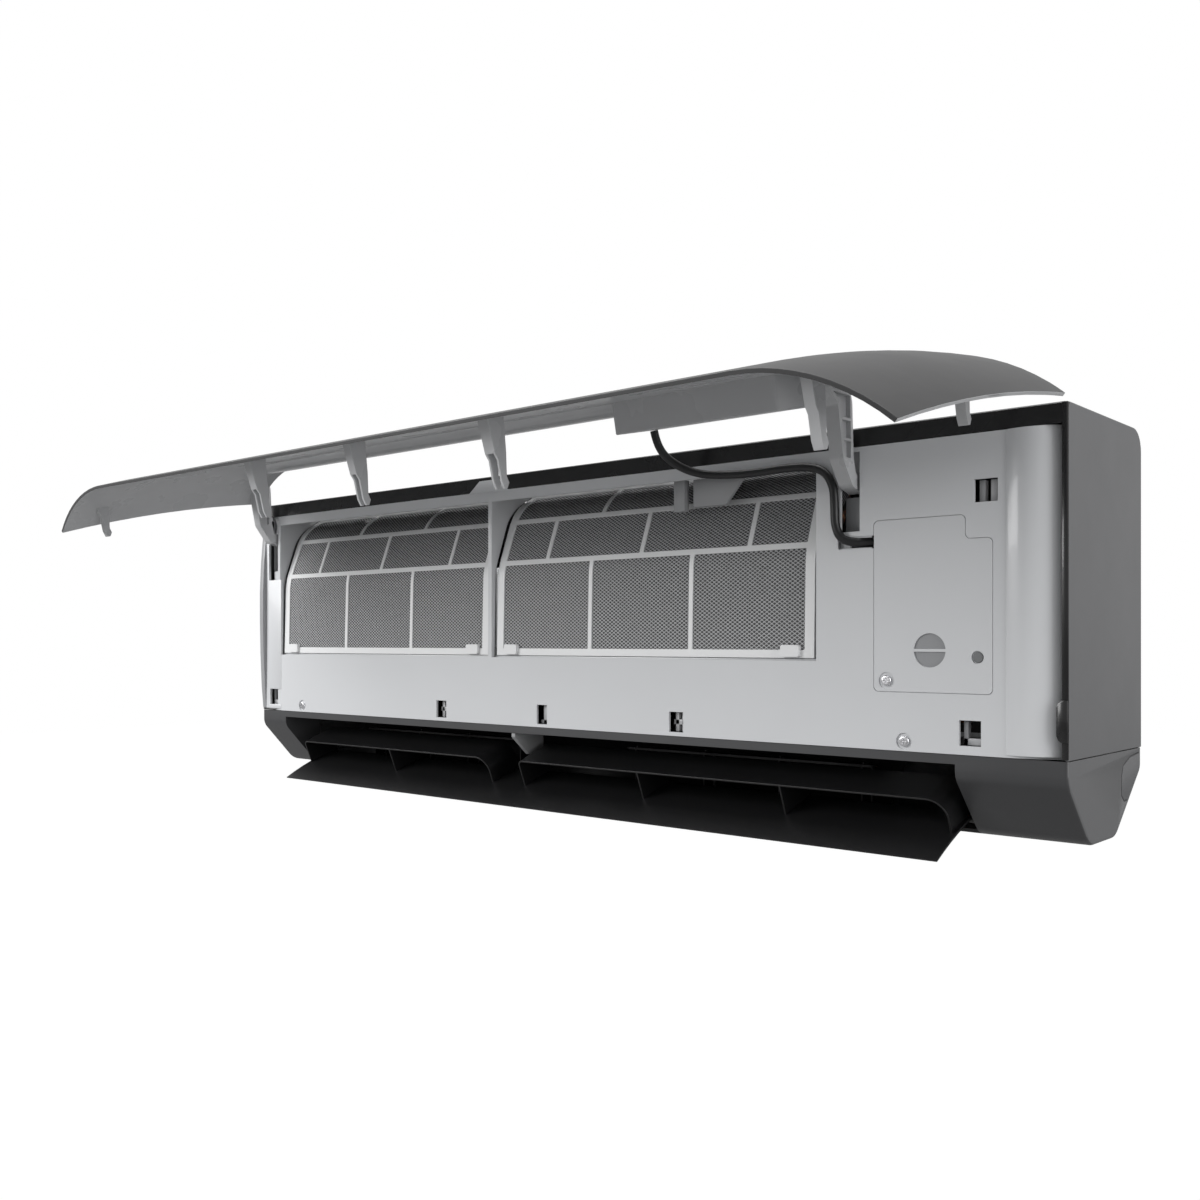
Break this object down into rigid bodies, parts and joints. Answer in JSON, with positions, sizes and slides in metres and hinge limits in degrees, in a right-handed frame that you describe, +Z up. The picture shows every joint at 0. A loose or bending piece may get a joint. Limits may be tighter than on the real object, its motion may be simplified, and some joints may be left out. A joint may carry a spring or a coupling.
{
  "type": "mini split indoor unit",
  "caption": "Wall-hung indoor unit of a mini split air conditioner with a lift-up front panel, removable filters, a motor-driven louver, swinging vanes and a cross-flow fan.",
  "frame": {"origin": "centre of the wall plate's back face, on the wall", "axes": "+X along the unit's length, to the right as seen from the room; +Y into the wall; +Z up"},
  "size_m": [0.998, 0.4235, 0.3757],
  "materials": {
    "shell_dark": "satin",
    "top_black": "semi-gloss",
    "cover_white": "satin",
    "inner_grey": "satin",
    "louver_black": "satin",
    "filter_white": "satin",
    "filter_net": "fine net",
    "screw_steel": "bright",
    "duct_grey": "satin",
    "coil_aluminium": "fins",
    "copper": "satin copper",
    "plate_zinc": "galvanised",
    "board_green": "satin",
    "rubber_black": "matt"
  },
  "bodies": {
    "housing": {"chassis": "duct_grey", "coil_bends": "copper", "coil_front": "coil_aluminium", "coil_rear": "coil_aluminium", "coil_upper": "coil_aluminium", "control_board": "board_green", "cover_screws": "screw_steel", "display_lead": "rubber_black", "drain_pan": "duct_grey", "duct_tongue": "duct_grey", "electrical_box": "duct_grey", "fan_bearing": "rubber_black", "fan_motor": "plate_zinc", "filter_frame_left": "filter_white", "filter_frame_right": "filter_white", "filter_net_left": "filter_net", "filter_net_right": "filter_net", "front_cover": "cover_white", "gas_pipe": "copper", "hinge_bracket_left": "inner_grey", "hinge_bracket_right": "inner_grey", "liquid_pipe": "copper", "louver_motor": "duct_grey", "lower_casing": "shell_dark", "side_panel_left": "shell_dark", "side_panel_right": "shell_dark", "terminal_cover": "cover_white", "top_grille": "top_black", "wall_plate": "plate_zinc"},
    "front_panel": {"panel_shell": "shell_dark", "panel_liner": "inner_grey", "display_box": "inner_grey", "display_lid": "inner_grey", "panel_latches": "inner_grey", "hinge_arm_left": "inner_grey", "hinge_arm_right": "inner_grey"},
    "louver": {"louver_blade": "louver_black", "louver_guide_left": "louver_black", "louver_guide_right": "louver_black"},
    "fan": {"fan_wheel": "louver_black"},
    "manual_button": {"manual_button": "cover_white"},
    "vane_link_left": {"vane_link_left": "louver_black"},
    "vane_left_1": {"vane_left_1": "louver_black"},
    "vane_left_2": {"vane_left_2": "louver_black"},
    "vane_left_3": {"vane_left_3": "louver_black"},
    "vane_left_4": {"vane_left_4": "louver_black"},
    "vane_link_right": {"vane_link_right": "louver_black"},
    "vane_right_1": {"vane_right_1": "louver_black"},
    "vane_right_2": {"vane_right_2": "louver_black"},
    "vane_right_3": {"vane_right_3": "louver_black"},
    "vane_right_4": {"vane_right_4": "louver_black"}
  },
  "joints": [
    {"name": "front_panel_hinge", "type": "hinge", "parent": "housing", "child": "front_panel", "pos_m": [0, -0.152, 0.142], "axis": [1, 0, 0], "range_deg": [0, 78], "deforming": ["display_lead"]},
    {"name": "louver_hinge", "type": "hinge", "parent": "housing", "child": "louver", "pos_m": [0, -0.122, -0.154], "axis": [-1, 0, 0], "range_deg": [0, 66]},
    {"name": "fan_spin", "type": "hinge", "parent": "housing", "child": "fan", "pos_m": [0, -0.078, -0.058], "axis": [1, 0, 0], "continuous": true},
    {"name": "manual_button_press", "type": "slide", "parent": "housing", "child": "manual_button", "axis": [0, 1, 0], "range_m": [0, 0.0015], "stiffness_N_per_m": 300},
    {"name": "vane_left_1_swing", "type": "hinge", "parent": "housing", "child": "vane_left_1", "pos_m": [-0.371, -0.07, -0.15], "axis": [0, 0, 1], "range_deg": [-30, 30]},
    {"name": "vane_left_2_swing", "type": "hinge", "parent": "housing", "child": "vane_left_2", "pos_m": [-0.287, -0.07, -0.15], "axis": [0, 0, 1], "range_deg": [-30, 30]},
    {"name": "vane_left_3_swing", "type": "hinge", "parent": "housing", "child": "vane_left_3", "pos_m": [-0.203, -0.07, -0.15], "axis": [0, 0, 1], "range_deg": [-30, 30]},
    {"name": "vane_left_4_swing", "type": "hinge", "parent": "housing", "child": "vane_left_4", "pos_m": [-0.119, -0.07, -0.15], "axis": [0, 0, 1], "range_deg": [-30, 30]},
    {"name": "vane_link_left_slide", "type": "slide", "parent": "housing", "child": "vane_link_left", "axis": [1, 0, 0], "range_m": [-0.0075, 0.0075]},
    {"name": "vane_right_1_swing", "type": "hinge", "parent": "housing", "child": "vane_right_1", "pos_m": [0.044, -0.07, -0.15], "axis": [0, 0, 1], "range_deg": [-30, 30]},
    {"name": "vane_right_2_swing", "type": "hinge", "parent": "housing", "child": "vane_right_2", "pos_m": [0.128, -0.07, -0.15], "axis": [0, 0, 1], "range_deg": [-30, 30]},
    {"name": "vane_right_3_swing", "type": "hinge", "parent": "housing", "child": "vane_right_3", "pos_m": [0.212, -0.07, -0.15], "axis": [0, 0, 1], "range_deg": [-30, 30]},
    {"name": "vane_right_4_swing", "type": "hinge", "parent": "housing", "child": "vane_right_4", "pos_m": [0.296, -0.07, -0.15], "axis": [0, 0, 1], "range_deg": [-30, 30]},
    {"name": "vane_link_right_slide", "type": "slide", "parent": "housing", "child": "vane_link_right", "axis": [1, 0, 0], "range_m": [-0.0075, 0.0075]}
  ],
  "couplings": [
    {"joint": "vane_left_2_swing", "follows": "vane_left_1_swing", "ratio": 1},
    {"joint": "vane_left_3_swing", "follows": "vane_left_1_swing", "ratio": 1},
    {"joint": "vane_left_4_swing", "follows": "vane_left_1_swing", "ratio": 1},
    {"joint": "vane_link_left_slide", "follows": "vane_left_1_swing", "m_per_rad": 0.014},
    {"joint": "vane_right_2_swing", "follows": "vane_right_1_swing", "ratio": 1},
    {"joint": "vane_right_3_swing", "follows": "vane_right_1_swing", "ratio": 1},
    {"joint": "vane_right_4_swing", "follows": "vane_right_1_swing", "ratio": 1},
    {"joint": "vane_link_right_slide", "follows": "vane_right_1_swing", "m_per_rad": 0.014}
  ]
}
